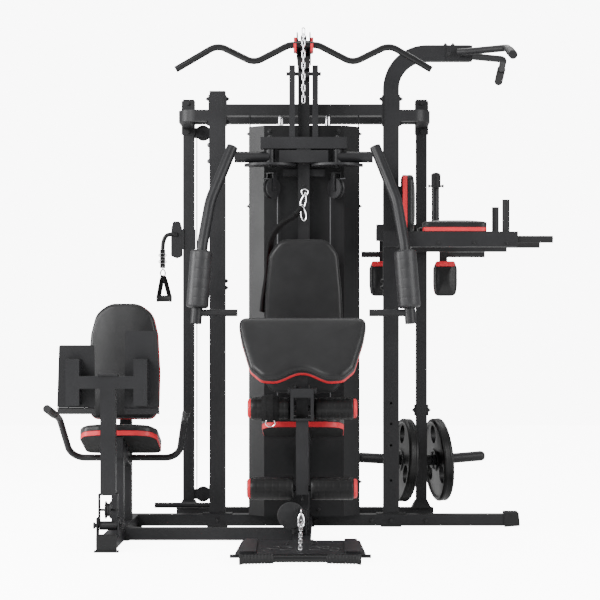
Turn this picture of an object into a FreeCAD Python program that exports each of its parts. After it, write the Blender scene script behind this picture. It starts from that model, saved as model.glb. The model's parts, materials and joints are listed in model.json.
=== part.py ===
"""Multi station home gym: a weight stack tower with a seat, a leg press, a dip stand, a cable column
and a squat lever.

Millimetres, +Z up. The origin is on the floor under the middle of the tower: -Y is the side where the user
sits down, +X the side of the dip stand. Driving dimensions are in the spreadsheet Sizes, and sizes are bound
to its cells.
"""
import FreeCAD, Part

import math
import os
import re

from FreeCAD import Placement, Rotation, Vector
from Sketcher import Constraint

SIZES = {
    # tubes and sheet
    "tube_wide": 70, "tube_deep": 50, "wall": 2, "sheet": 2, "plate": 5, "bar_round": 28, "foot_pad": 5,
    # tower
    "upright_x": 385, "upright_top": 1927, "cross_low": 1822, "side_bar_z": 1824,
    "base_right": 885, "leg_press_x": 765,
    "column_x": 536, "column_y": 320, "column_top": 1927, "tower_y": 155, "tower_top": 2000, "lat_axle_z": 2098,
    "shroud_half": 245, "shroud_front": 175, "shroud_deep": 110, "shroud_slot": 34, "shroud_top": 1770,
    "bend_radius": 180, "pullup_z": 2100, "pullup_tip": 735,
    # weight stack
    "plate_wide": 330, "plate_deep": 110, "plate_thick": 30, "plate_pitch": 32, "stack_floor": 92,
    "rod_radius": 12.5, "rod_x": 105, "rod_clear": 1.5, "stem_radius": 12,
    # press arm
    "press_y": 225, "press_z": 1980, "beam_half": 186, "beam_low": 1655, "fly_pulley_z": 1490, "fly_x": 145,
    "fly_z": 1620, "arm_radius": 24, "roller_radius": 48, "cam_radius": 112,
    # lat bar and cable column
    "lat_y": 312, "lat_z": 2092, "column_pulley_z": 1780, "low_pulley_z": 116,
    # seat, leg lever and low row
    "leg_y": 720, "seat_beam_low": 347, "lever_y": 776, "lever_z": 625, "lever_axle_z": 232, "upper_axle_z": 553,
    "foam_radius": 46, "foam_upper": 48, "foam_lower": 34, "foam_outer": 210,
    "row_y": 1378,
    # leg press
    "press_pivot_y": 930, "press_pivot_z": 98, "press_post_y": 580, "press_rear_y": 260,
    # dip stand
    "dip_y": 255, "dip_low": 1230, "dip_high": 66, "dip_tip": 917, "dip_start": 343,
    # squat lever and weight plates
    "squat_y": 640, "squat_z": 1330, "peg_z": 268, "peg_radius": 24, "peg_nose": 23.2,
    "peg_seat": 110, "peg_length": 285, "disc_radius": 190, "disc_thick": 34,
    # pulleys
    "pulley_radius": 45, "pulley_thick": 24, "pulley_bore": 5.2, "axle_radius": 5, "cable_radius": 2.5,
     "small_pulley": 35,
    "tiny_pulley": 24, "groove_depth": 8.7, "stopper_radius": 11,
}


class Given:
    """The same dimensions as the spreadsheet, for the placements."""


g = Given()
for alias, value in SIZES.items():
    setattr(g, alias, float(value))

doc = FreeCAD.newDocument("HomeGym")
sheet = doc.addObject("Spreadsheet::Sheet", "Sizes")
for row, (alias, value) in enumerate(SIZES.items(), start=1):
    sheet.set(f"A{row}", alias)
    sheet.set(f"B{row}", str(value))
    sheet.setAlias(f"B{row}", alias)
doc.recompute()

PIECES = {}
X, Y, Z = Vector(1, 0, 0), Vector(0, 1, 0), Vector(0, 0, 1)
UP = Rotation(X, 0)
ALONG_X = Rotation(Y, 90)
ALONG_Y = Rotation(X, -90)


def cells(text):
    """An expression in which each dimension's name points at its cell."""
    return re.sub(r"[a-z]+(_[a-z]+)*", lambda m: "Sizes." + m.group(0), text)


def bind(thing, **expressions):
    """Ties properties of a thing to expressions in the sheet's dimensions."""
    for prop, text in expressions.items():
        thing.setExpression(prop, cells(str(text)))


def place(thing, x, y, z, rotation=UP):
    thing.Placement = Placement(Vector(x, y, z), rotation)
    return thing


def node(label, *things):
    """Solids that belong to one named sub-part; a label used again adds to it."""
    PIECES.setdefault(label, []).extend(things)


# ---- building blocks ----

def box(length, width, height, x, y, z, rotation=UP):
    """A block whose lowest corner, before it is turned, is at x, y, z."""
    made = doc.addObject("Part::Box", "Block")
    bind(made, Length=length, Width=width, Height=height)
    return place(made, x, y, z, rotation)


def centred(length, width, height, x, y, z, rotation=UP):
    """A block whose centre is at x, y, z."""
    made = box(length, width, height, 0, 0, 0)
    doc.recompute([made])
    half = Vector(made.Length.Value, made.Width.Value, made.Height.Value) * 0.5
    return place(made, *(Vector(x, y, z) - rotation.multVec(half)), rotation)


def rod(radius, height, x, y, z, rotation=UP):
    """A round bar that starts at x, y, z."""
    made = doc.addObject("Part::Cylinder", "Rod")
    bind(made, Radius=radius, Height=height)
    return place(made, x, y, z, rotation)


def cut(base, *tools):
    """The base with each tool taken away."""
    for tool in tools:
        made = doc.addObject("Part::Cut", "Cut")
        made.Base, made.Tool = base, tool
        base = made
    return base


def sleeve(radius, bore, height, x, y, z, rotation=UP):
    """A round bar with a bore through it."""
    return cut(rod(radius, height, x, y, z, rotation), rod(bore, height, x, y, z, rotation))


def rectangle(sketch, wide, high):
    """A rectangle about the sketch's origin, whose sides follow two expressions."""
    first = sketch.GeometryCount
    corners = [Vector(-10, -10, 0), Vector(10, -10, 0), Vector(10, 10, 0), Vector(-10, 10, 0)]
    for i in range(4):
        sketch.addGeometry(Part.LineSegment(corners[i], corners[(i + 1) % 4]), False)
    for i in range(4):
        sketch.addConstraint(Constraint("Coincident", first + i, 2, first + (i + 1) % 4, 1))
    for i, way in enumerate(("Horizontal", "Vertical", "Horizontal", "Vertical")):
        sketch.addConstraint(Constraint(way, first + i))
    sketch.addConstraint(Constraint("Symmetric", first, 1, first + 2, 1, -1, 1))
    for edge, text in ((first, wide), (first + 1, high)):
        index = sketch.addConstraint(Constraint("Distance", edge, 20))
        sketch.setExpression(f"Constraints[{index}]", cells(str(text)))


def tube(wide, deep, length, x, y, z, rotation=UP, roll=0):
    """A rectangular steel tube, open at its ends, along its own Z from x, y, z."""
    body = doc.addObject("PartDesign::Body", "Tube")
    sketch = body.newObject("Sketcher::SketchObject", "Section")
    plane = next(f for f in body.Origin.OriginFeatures if f.Role == "XY_Plane")
    sketch.AttachmentSupport = [(plane, "")]
    sketch.MapMode = "FlatFace"
    rectangle(sketch, wide, deep)
    rectangle(sketch, f"{wide} - 2 * wall", f"{deep} - 2 * wall")
    pad = body.newObject("PartDesign::Pad", "Length")
    pad.Profile = sketch
    bind(pad, Length=length)
    body.Tip = pad
    return place(body, x, y, z, rotation * Rotation(Z, roll))


def rounded_path(points, radius):
    """A wire of straight runs, joined by tangent arcs of one radius, or less where a run is short."""
    points = [Vector(*p) for p in points]
    edges, start = [], points[0]
    for before, corner, after in zip(points, points[1:], points[2:]):
        into, out = (before - corner).normalize(), (after - corner).normalize()
        half = into.getAngle(out) / 2
        room = 0.45 * min((before - corner).Length, (after - corner).Length)
        reach = min(radius / math.tan(half), room)
        bend = reach * math.tan(half)
        middle = corner + (into + out).normalize() * (bend / math.sin(half) - bend)
        first, last = corner + into * reach, corner + out * reach
        edges.append(Part.LineSegment(start, first).toShape())
        edges.append(Part.Arc(first, middle, last).toShape())
        start = last
    edges.append(Part.LineSegment(start, points[-1]).toShape())
    return Part.Wire(edges)


def bent(points, radius, outer, inner=0.0):
    """A round tube or bar bent along points."""
    path = rounded_path(points, radius)
    start = Vector(*points[0])
    along = (Vector(*points[1]) - start).normalize()
    face = Part.Face(Part.Wire(Part.makeCircle(outer, start, along)))
    if inner:
        hole = Part.Face(Part.Wire(Part.makeCircle(inner, start, along)))
        face = face.cut(hole).Faces[0]
    made = doc.addObject("Part::Feature", "Bent")
    made.Shape = path.makePipe(face)
    return made


def bent_square(points, radius, wide, deep, wall, up):
    """A rectangular tube bent in one plane along points; up is the way its deep side faces."""
    path = rounded_path(points, radius)
    start = Vector(*points[0])
    along = (Vector(*points[1]) - start).normalize()
    side = along.cross(up)

    def section(half_wide, half_deep):
        signs = ((-1, -1), (1, -1), (1, 1), (-1, 1), (-1, -1))
        return Part.Face(Part.makePolygon([start + side * (a * half_wide) + up * (b * half_deep) for a,
                                           b in signs]))

    face = section(wide / 2, deep / 2).cut(section(wide / 2 - wall, deep / 2 - wall)).Faces[0]
    made = doc.addObject("Part::Feature", "BentTube")
    made.Shape = path.makePipe(face)
    return made


def extruded(points, thickness, placement, soften=0.0):
    """A flat outline, drawn in its own XY, given a thickness along its own Z."""
    wire = Part.makePolygon([Vector(x, y, 0) for x, y in points + points[:1]])
    solid = Part.Face(wire).extrude(Vector(0, 0, thickness))
    if soften:
        upright = [e for e in solid.Edges if abs(e.tangentAt(e.FirstParameter).z) > 0.99]
        solid = solid.makeFillet(soften, upright)
    made = doc.addObject("Part::Feature", "Outline")
    made.Shape = solid
    made.Placement = placement
    return made


def shape_node(shape, placement=None):
    """A finished shape as an object of the document, moved to its placement."""
    made = doc.addObject("Part::Feature", "Shaped")
    made.Shape = shape
    if placement:
        made.Placement = placement
    return made


def pulley(x, y, z, rotation, radius="pulley_radius"):
    """A grooved wheel about its own Z, centred at x, y, z, on a bore that clears its axle."""
    r = getattr(g, radius)
    half = g.pulley_thick / 2
    outline = [(g.pulley_bore, -half), (r, -half), (r, -half + 4), (r - 9, -3), (r - 9, 3), (r, half - 4),
               (r, half), (g.pulley_bore, half)]
    wire = Part.makePolygon([Vector(a, 0, b) for a, b in outline + outline[:1]])
    solid = Part.Face(wire).revolve(Vector(0, 0, 0), Z, 360)
    return shape_node(solid, Placement(Vector(x, y, z), rotation))


def axle(x, y, z, rotation, length, radius="axle_radius"):
    """A pin about the same centre as its pulley."""
    start = Vector(x, y, z) - rotation.multVec(Z) * (length / 2)
    return rod(radius, length, *start, rotation)


# ---- frame ----

def base_frame():
    pad, deep, wide = g.foot_pad, g.tube_deep, g.tube_wide
    mid = pad + deep / 2
    side = g.leg_press_x - 30
    node("base_main_tube", tube("tube_deep", "tube_wide", "base_right + leg_press_x - 30", -side, 0, mid,
                                ALONG_X))
    node("base_leg_press_tube", tube(60, "tube_deep", 1020, -g.leg_press_x, -985, mid, ALONG_Y))
    node("base_center_frame", tube("tube_wide", "tube_deep", 1125, 0, -1160, mid, ALONG_Y))
    node("base_center_frame", tube("tube_deep", 50, "leg_press_x - 30 - tube_wide / 2", -side, -590, mid,
                                   ALONG_X))
    ties = [tube("tube_deep", "tube_deep", "column_y - tube_deep / 2 - tube_wide / 2", x, wide / 2, mid,
                 ALONG_Y)
            for x in (-200, 200)]
    node("rear_frame", tube("tube_deep", "tube_deep", "2 * column_x + 100", -g.column_x - 50, g.column_y, mid,
                            ALONG_X), *ties)


def foot_pads_and_caps():
    pads = [centred(90, 70, "foot_pad", x, y, g.foot_pad / 2) for x, y in
            ((0, 0), (-g.upright_x, 0), (g.upright_x, 0), (0, -620), (-g.leg_press_x, -560),
             (-g.leg_press_x, -20),
             (-g.column_x, g.column_y), (g.column_x, g.column_y))]
    pads.append(centred(130, 60, "foot_pad", 0, -1125, g.foot_pad / 2))
    node("rubber_feet", *pads)
    base_mid = g.foot_pad + g.tube_deep / 2
    end = extruded([(-4, 0), (66, 6), (60, 66), (-4, 66)], 84,
                   Placement(Vector(g.base_right + 4, 42, 0), Rotation(X, 90)), 5)
    boot = shape_node(Part.makeBox(80, 26, 66, Vector(-g.leg_press_x - 40, -1011, 0)).fuse(
        Part.makeBox(96, 32, 7, Vector(-g.leg_press_x - 48, -1017, 0))).removeSplitter())
    node("rubber_feet", end, boot)
    tops = [centred("tube_wide", "tube_deep", 5, -g.upright_x, 0, g.upright_top + 2.5)]
    tops += [centred("tube_deep", "tube_deep", 5, s * g.column_x, g.column_y,
                     g.column_top + 2.5) for s in (-1, 1)]
    tops += [centred(5, "tube_deep", "tube_deep", s * (g.column_x + 52.5), g.column_y,
                     base_mid) for s in (-1, 1)]
    tops += [centred(5, "tube_deep", "dip_high", g.dip_tip + 2.5, s * g.dip_y, g.dip_low + g.dip_high / 2)
             for s in (-1, 1)]
    tops.append(centred("tube_wide", 5, "tube_deep", 0, -1162.5, base_mid))
    node("rubber_feet", *tops)


def uprights():
    foot = g.foot_pad + g.tube_deep + g.plate
    node("upright_left", tube("tube_wide", "tube_deep", "upright_top - foot_pad - tube_deep - plate",
                              -g.upright_x, 0,
                              foot))
    arch = [(g.upright_x, 0, foot), (g.upright_x, 0, g.pullup_z), (g.pullup_tip, 0, g.pullup_z)]
    arm = bent_square(arch, g.bend_radius, g.tube_wide, g.tube_deep, g.wall, Y)
    holes = [rod(5.5, 12, g.upright_x, -g.tube_deep / 2 - 6, z, ALONG_Y) for z in (205, 361, 456, 548)]
    node("upright_right", cut(arm, *holes))
    flanges = [centred(130, 66, "plate", s * g.upright_x, 0, foot - g.plate / 2) for s in (-1, 1)]
    flanges += [centred("plate", 66, 130, s * (g.upright_x - g.tube_wide / 2 - g.plate / 2), 0,
                        g.cross_low + 25)
                for s in (-1, 1)]
    flanges += [centred("plate", 50, 136, s * (g.upright_x + g.tube_wide / 2 + g.plate / 2), 0,
                        g.cross_low + 25)
                for s in (-1, 1)]
    flanges += [centred(62, "plate", 155, s * g.column_x, g.column_y - g.tube_deep / 2 - g.plate / 2, 1847)
                for s in (-1, 1)]
    flanges.append(centred(62, 80, "plate", 0, -g.tower_y, foot - g.plate / 2))
    node("frame_brackets", *flanges)
    span = 2 * (g.upright_x - g.tube_wide / 2 - g.plate)
    bar = tube("tube_deep", "tube_wide", "2 * (upright_x - tube_wide / 2 - plate)", -span / 2, 0,
               g.cross_low + 25,
               ALONG_X)
    node("top_frame", cut(bar, rod(9, 60, 0, 0, g.cross_low - 5)))
    node("top_frame", tube("tube_deep", "tube_deep", "2 * column_x - tube_deep",
                           -g.column_x + g.tube_deep / 2,
                           g.column_y, 1847, ALONG_X))
    for side in (-1, 1):
        start = g.upright_x + g.tube_wide / 2 + g.plate
        path = [(side * start, 0, g.side_bar_z), (side * g.column_x, 0, g.side_bar_z),
                (side * g.column_x, g.column_y - g.tube_deep / 2 - g.plate, g.side_bar_z)]
        node("top_frame", bent_square(path, 90, g.tube_deep, g.tube_deep, g.wall, Z))
        node("rear_frame", tube("tube_deep", "tube_deep", "column_top - foot_pad - tube_deep - plate",
                                side * g.column_x, g.column_y, foot))
    boots = [shape_node(Part.makeLoft([square(45, 0), square(29, 32)], True).cut(
        Part.makeBox(51, 51, 60, Vector(-25.5, -25.5, -1))), Placement(
        Vector(s * g.column_x, g.column_y, foot - g.plate + 0.5), UP)) for s in (-1, 1)]
    node("frame_brackets", *boots)
    node("lat_tower", tube("tube_deep", "tube_wide", "tower_top - foot_pad - tube_deep - plate", 0,
                           -g.tower_y, foot),
         tube("tube_deep", "tube_deep", "tower_y - tube_wide", 0, -g.tower_y + g.tube_wide / 2,
              g.cross_low + 25,
              ALONG_Y))


def square(half, height):
    """A closed square outline about the origin at one height."""
    corners = ((-1, -1), (1, -1), (1, 1), (-1, 1), (-1, -1))
    return Part.makePolygon([Vector(a * half, b * half, height) for a, b in corners])


def frame_bolts():
    """Hexagon bolt heads on the outside faces of the joints."""
    spots = []
    for side in (-1, 1):
        outside = side * (g.upright_x + g.tube_wide / 2 + g.plate)
        for z in (-52, 52):
            spots.append((side * (g.upright_x - g.tube_wide / 2 - g.plate), 0, g.cross_low + 25 + z, -side * X))
            spots.append((side * g.column_x, g.column_y - g.tube_deep / 2 - g.plate, 1847 + z * 1.25, -Y))
        for z in (-35, 75):
            spots.append((outside, 0, g.side_bar_z + z, side * X))
        spots.append((side * (g.upright_x - g.tube_wide / 2), 0, 1060, -side * X))
        spots.append((side * (g.upright_x - g.tube_wide / 2), 0, 1090, -side * X))
    for x in (-g.upright_x, -50, 50, 300, g.upright_x, 540):
        spots.append((x, -g.tube_wide / 2, g.foot_pad + g.tube_deep / 2, -Y))
    heads = []
    for x, y, z, out in spots:
        head = Part.Face(Part.makePolygon([Vector(9 * math.cos(k * math.pi / 3),
                                                  9 * math.sin(k * math.pi / 3), 0)
                                           for k in range(7)])).extrude(Vector(0, 0, 7))
        stud = Part.makeCylinder(5, 5, Vector(0, 0, 7))
        heads.append(shape_node(head.fuse(stud).removeSplitter(), Placement(Vector(x, y, z), Rotation(Z, out))))
    node("bolts_and_axles", *heads)


# ---- weight stack ----

def shroud():
    half, front, deep, slot = g.shroud_half, g.shroud_front, g.shroud_deep, g.shroud_slot / 2
    low = g.foot_pad + g.tube_deep
    def outline(side, inset):
        bevel = inset * math.tan(math.pi / 8)
        points = [(slot, -deep + inset), (front - bevel, -deep + inset), (half - inset, -45),
                  (half - inset, 45), (front - bevel, deep - inset), (slot, deep - inset)]
        return [(side * x, y) for x, y in points]

    for side, name in ((-1, "shroud_left"), (1, "shroud_right")):
        ring = outline(side, 0) + outline(side, g.sheet)[::-1]
        wire = Part.makePolygon([Vector(x, y, low) for x, y in ring + ring[:1]])
        node(name, shape_node(Part.Face(wire).extrude(Vector(0, 0, g.shroud_top - low))))
    node("frame_brackets", rod(12, 290, -668, g.tube_deep / 2 + 12, 90, ALONG_X))
    hangers = [centred(4, 40, 82, s * (half - g.sheet - 2), 0, g.cross_low - 41) for s in (-1, 1)]
    node("frame_brackets", *hangers)


def stack_plate(index, clear):
    """One stack plate, with its rod holes, stem hole and half of the cross hole for the selector pin."""
    z = g.stack_floor + index * g.plate_pitch
    slab = centred("plate_wide", "plate_deep", "plate_thick", 0, 0, z + g.plate_thick / 2)
    holes = [rod("rod_radius + rod_clear", "plate_thick + 2", s * g.rod_x, 0, z - 1) for s in (-1, 1)]
    holes.append(rod(f"stem_radius + {clear}", "plate_thick + 2", 0, 0, z - 1))
    holes.append(rod(6.2, "plate_deep / 2 + 1", 0, 0, z + g.plate_thick / 2, ALONG_Y))
    return cut(slab, *holes)


def weight_stack():
    lifted, total = 4, 14
    low = g.foot_pad + g.tube_deep
    node("guide_rods",
         *[rod("rod_radius", "cross_low - foot_pad - tube_deep", s * g.rod_x, 0, low) for s in (-1, 1)])
    node("rubber_feet", *[sleeve(26, "rod_radius", "stack_floor - foot_pad - tube_deep", s * g.rod_x, 0, low)
                            for s in (-1, 1)])
    node("stack_plates_lower", *[stack_plate(i, 3) for i in range(total - lifted)])
    node("stack_plates_upper", *[stack_plate(i, 3) for i in range(total - lifted, total)])
    top = g.stack_floor + total * g.plate_pitch
    slab = centred("plate_wide", "plate_deep", "plate_thick", 0, 0, top + g.plate_thick / 2)
    holes = [rod("rod_radius + rod_clear", "plate_thick + 2", s * g.rod_x, 0, top - 1) for s in (-1, 1)]
    head = cut(slab, *holes)
    pin_z = g.stack_floor + (total - lifted) * g.plate_pitch + g.plate_thick / 2
    stem_low = pin_z - 40
    stem = cut(rod("stem_radius", top - stem_low, 0, 0, stem_low), rod(6.2, 60, 0, -30, pin_z, ALONG_Y))
    stud = rod(10, 40, 0, 0, top + g.plate_thick)
    node("selector_stem", head, stem, stud)
    pin = rod(6, 85, 0, g.plate_deep / 2 - 67, pin_z, ALONG_Y)
    knob = rod(12, 24, 0, g.plate_deep / 2 + 18, pin_z, ALONG_Y)
    node("selector_pin", pin, knob)


# ---- lat tower ----

def lat_tower():
    top = g.tower_top
    arm = tube("tube_deep", "tube_deep", 150, 0, -265, top + 25, ALONG_Y)
    web = centred(50, 4, 78, 0, -198, top + 89)
    end_cap = centred(50, 4, 50, 0, -267, top + 25)
    node("rubber_feet", end_cap)
    cheeks = [centred(5, 96, 105, s * 27.5, -247, top + 100 - 2.5) for s in (-1, 1)]
    cheeks += [centred(5, 90, 105, s * 27.5, -70, top + 100 - 2.5) for s in (-1, 1)]
    bolts = [axle(0, -247, g.lat_axle_z, ALONG_X, 60), axle(0, -38.5, g.lat_axle_z, ALONG_X, 74)]
    node("lat_tower", arm, web, *[lower_cheek(c) for c in cheeks])
    node("bolts_and_axles", *bolts)
    node("lat_pulley_front", pulley(0, -247, g.lat_axle_z, ALONG_X))
    node("lat_pulley_rear", pulley(0, -38.5, g.lat_axle_z, ALONG_X))
    hooks = []
    for side in (-1, 1):
        outline = [(-36, -30), (-36, 2), (-28, 2), (-16, -15), (16, -15), (20, 0), (20, 36), (65, 36), (65, 0),
                   (40, -30)]
        wire = Part.makePolygon([Vector(side * 30, y - g.lat_y, z + g.lat_z) for y,
                                 z in outline + outline[:1]])
        hooks.append(shape_node(Part.Face(wire).extrude(Vector(side * 12, 0, 0))))
    node("bar_hooks", *hooks)


def lower_cheek(cheek):
    """A cheek plate with the holes for both pulley axles."""
    return cut(cheek, *[rod("axle_radius", 90, -45, y, g.lat_axle_z, ALONG_X) for y in (-247, -38.5)])


def lat_bar():
    y, z = -g.lat_y, g.lat_z
    half = [(62, 0), (211, -77), (367, 0), (547, -105)]
    points = [(-x, y, z + rise) for x, rise in reversed(half)] + [(x, y, z + rise) for x, rise in half]
    node("lat_bar", bent(points, 70, g.bar_round / 2))
    node("lat_chain", *chain((0, y - 26, z + 53), (0, 0, -1), 13))


def chain(start, way, count):
    """Welded links along one direction, each turned a quarter against the last."""
    pitch, wire, half, straight = 24.0, 2.4, 5.6, 11.0
    along = Vector(*way).normalize()
    path = Part.Wire([Part.LineSegment(Vector(half, 0, -straight), Vector(half, 0, straight)).toShape(),
                      Part.Arc(Vector(half, 0, straight), Vector(0, 0, straight + half),
                               Vector(-half, 0, straight)).toShape(),
                      Part.LineSegment(Vector(-half, 0, straight), Vector(-half, 0, -straight)).toShape(),
                      Part.Arc(Vector(-half, 0, -straight), Vector(0, 0, -straight - half),
                               Vector(half, 0, -straight)).toShape()])
    circle = Part.Wire(Part.makeCircle(wire, Vector(half, 0, -straight), Z))
    link = path.makePipeShell([circle], True, False)
    return [shape_node(link.copy(), Placement(Vector(*start) + along * (i * pitch),
                                              Rotation(Z, along) * Rotation(Z, 90 * (i % 2))))
            for i in range(count)]


# ---- press arm ----

def press_arm():
    y, z, low = -g.press_y, g.press_z, g.beam_low
    straps = [cut(tube(25, "tube_deep - 10", "press_z + 35 - beam_low - 50", s * 50, y, low + 50),
                  rod(8, 40, s * 50 - 20, y, z, ALONG_X)) for s in (-1, 1)]
    beam = centred("2 * beam_half", "tube_deep", 50, 0, y, low + 25)
    hollow = centred("2 * beam_half + 2", "tube_deep - 2 * wall", "50 - 2 * wall", 0, y, low + 25)
    bores = [rod(8, 60, s * g.fly_x, y, low - 5) for s in (-1, 1)]
    stop = centred(212, 56, 53, 0, y, low - 7 - 26.5)
    neck = centred(60, 40, 7, 0, y, low - 3.5)
    node("press_frame", *straps, cut(beam, hollow, *bores), stop, neck)
    bolt = rod(8, 150, -75, y, z, ALONG_X)
    node("bolts_and_axles", bolt)
    hub = sleeve(18, 8.05, 50, -25, y, z, ALONG_X)
    web = shape_node(Part.makeBox(40, 22, 30, Vector(-20, -g.tower_y - 35 - 22, z - 15)).cut(
        Part.makeCylinder(18, 60, Vector(-30, y, z), X)))
    node("lat_tower", hub, web)


def fly_arm(side, name):
    y, z = -g.press_y, g.fly_z
    x = g.fly_x
    low = g.beam_low - 3 - 62
    barrel = sleeve(20, 8.05, 62, side * x, y, low)
    stub = shape_node(Part.makeCylinder(24, 150, Vector(side * (x + 4), y, z), side * X).cut(
        Part.makeCylinder(20, 80, Vector(side * x, y, low - 5))))
    points = [(side * 308, y, z + 45), (side * 400, y - 65, 1427), (side * 432, y - 120, 1228),
              (side * 457, y - 145, 899)]
    outer = bent(points, 300, g.arm_radius, g.arm_radius - g.wall)
    solid = bent(points, 300, g.arm_radius)
    doc.recompute()
    grip = bent([(side * 450, y - 141, 945), (side * 280, y - 141, 945)], 1, 15)
    for joined in (stub, grip):
        joined.Shape = joined.Shape.cut(solid.Shape)
    doc.removeObject(solid.Name)
    cam = cut(rod("cam_radius", 10, side * x, y, low - 11), box("2 * cam_radius", "cam_radius", 12, side * x
              - g.cam_radius, y + 25, low - 12), rod(8.05, 12, side * x, y, low - 12))
    node(name, barrel, stub, outer, grip, cam)
    pivot = rod(8, "50 + 80 + 10", side * x, y, low - 16)
    washer = sleeve(14, 8, 4, side * x, y, g.beam_low + 50)
    return pivot, washer


def arm_roller(side, name):
    """The padded roller on the lower straight part of a fly arm."""
    top, low = Vector(side * 432, -g.press_y - 120, 1228), Vector(side * 457, -g.press_y - 145, 899)
    along = (low - top).normalize()
    start = top + along * 18
    body = Part.makeCylinder(g.roller_radius, 245, start, along)
    node(name, shape_node(body.cut(Part.makeCylinder(g.arm_radius + 0.3, 250, start, along))))


def fly_pulleys():
    pins, bars = [], []
    for side, name in ((-1, "fly_pulley_left"), (1, "fly_pulley_right")):
        turn = Rotation(Z, side * 40) * ALONG_X
        x, y, z = side * 140, -170, g.fly_pulley_z
        node(name, pulley(x, y, z, turn))
        pins.append(axle(x, y, z, turn, 44))
        bars.append(box(66, 8, 30, 25 if side > 0 else -91, -160, z + 52))
        way = turn.multVec(Z)
        ears = []
        for d in (-17, 17):
            ears.append(cut(centred(4, 24, 78, x + way.x * d, y + way.y * d, z + 24, Rotation(Z, side * 40)),
                            axle(x, y, z, turn, 60)))
        bars += ears
        bars.append(centred(42, 24, 4, x, y, z + 65, Rotation(Z, side * 40)))
    node("bolts_and_axles", *pins)
    node("frame_brackets", *bars)


# ---- seat, leg lever and low row ----

def seat_station():
    foot = g.foot_pad + g.tube_deep
    leg = cut(tube("tube_deep", "tube_deep", "640 - foot_pad - tube_deep", 0, -g.leg_y, foot),
              rod(12.5, 60, -30, -g.leg_y, g.upper_axle_z, ALONG_X))
    beam = tube("tube_deep", "tube_deep", "leg_y - tower_y - tube_wide / 2 - tube_deep / 2", 0, -g.leg_y + 25,
                g.seat_beam_low + 25, ALONG_Y)
    node("seat_frame", leg, beam)
    ears = [cut(centred(5, 84, 60, s * 27.5, -g.lever_y + 20, g.lever_z - 7),
                rod("8", 20, s * 27.5 - 10, -g.lever_y, g.lever_z, ALONG_X)) for s in (-1, 1)]
    deck = g.seat_beam_low + g.tube_deep
    wedge = [shape_node(Part.Face(Part.makePolygon([Vector(s * 25, y, z) for y, z in (
        (-300, deck), (-580, deck), (-580, deck + 58), (-300, deck + 10), (-300, deck))])).extrude(
            Vector(s * 5, 0, 0)))
        for s in (-1, 1)]
    back = [centred(40, 40, 60, 0, -210, z) for z in (760, 1080)]
    node("seat_frame", *ears, *wedge, *back)
    node("seat_frame", rod(12.5, "2 * foam_outer + 8", -g.foam_outer - 4, -g.leg_y, g.upper_axle_z, ALONG_X))


def cushions():
    seat = [(-172, 0), (-172, 300), (-120, 365), (120, 365), (172, 300), (172, 0)]
    rounded_pad("seat_pad", seat, 62, Placement(Vector(0, -250, 408), Rotation(X, -9.8)), mirror_y=True)
    back = [(-172, 600), (-172, 920), (-135, 1215), (-95, 1262), (95, 1262), (135, 1215), (172, 920), (172, 600)]
    rounded_pad("backrest_pad", back, 66, Placement(Vector(0, -230, 0), Rotation(X, 90)), corner=45)


def rounded_pad(name, outline, thick, placement, mirror_y=False, corner=40):
    points = [(x, -y) for x, y in outline] if mirror_y else outline
    node(name, extruded(points, thick, placement, corner))


def preacher():
    slope = math.degrees(math.atan2(190, 286))
    turn = Rotation(X, 90 - slope)
    outline = [(-268, 172), (268, 172), (258, 60), (205, -112), (150, -150), (70, -150), (0, -108), (-70, -150),
               (-150, -150), (-205, -112), (-258, 60)]
    back = Vector(0, -735, 806) - turn.multVec(Z) * 54
    node("preacher_pad", extruded(outline, 54, Placement(back, turn), 12))
    above = Part.makeBox(200, 400, 400, Vector(-100, -200, 0))
    above.Placement = Placement(back, turn)
    post = Part.makeBox(38, 38, 360, Vector(-19, -g.leg_y - 19, 590)).cut(above)
    node("preacher_post", shape_node(min(post.Solids, key=lambda solid: solid.BoundBox.ZMin)))


def leg_lever():
    y, z = -g.lever_y, g.lever_z
    cheeks = [cut(centred(5, 60, 128, s * 39.5, y - 6, z - 53), rod(8.05, 20, s * 39.5 - 10, y, z, ALONG_X))
              for s in (-1, 1)]
    cheeks += [centred(13, 4, 92, s * 40.5, y - 38, z - 71) for s in (-1, 1)]
    cover = centred(94, 4, 36, 0, y - 38, z - 7)
    bridge = centred(74, 60, 8, 0, y - 6, z - 113)
    stem = cut(tube("tube_deep", "tube_deep - 2", 300, 0, y, z - 117 - 300),
               rod(12.5, 60, -30, y, g.lever_axle_z, ALONG_X))
    hook = bent([(0, y, z - 417), (0, y, z - 440), (0, y + 18, z - 440)], 8, 4)
    node("leg_lever", *cheeks, cover, bridge, stem, hook)
    node("bolts_and_axles", rod(8, 100, -50, y, z, ALONG_X), rod(14, 8, 50, y, z, ALONG_X),
         rod(14, 8, -58, y, z, ALONG_X))
    node("leg_lever", rod(12.5, "2 * foam_outer + 8", -g.foam_outer - 4, y, g.lever_axle_z, ALONG_X))


def foam_rollers(name, y, z, inner):
    made = []
    for side in (-1, 1):
        start = getattr(g, inner) if side > 0 else -g.foam_outer
        made.append(sleeve("foam_radius", 12.8, f"foam_outer - {inner}", start, y, z, ALONG_X))
        made.append(rod(32, 9, g.foam_outer + 4.3 if side > 0 else -g.foam_outer - 13.3, y, z, ALONG_X))
    node(name, *made)


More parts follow.
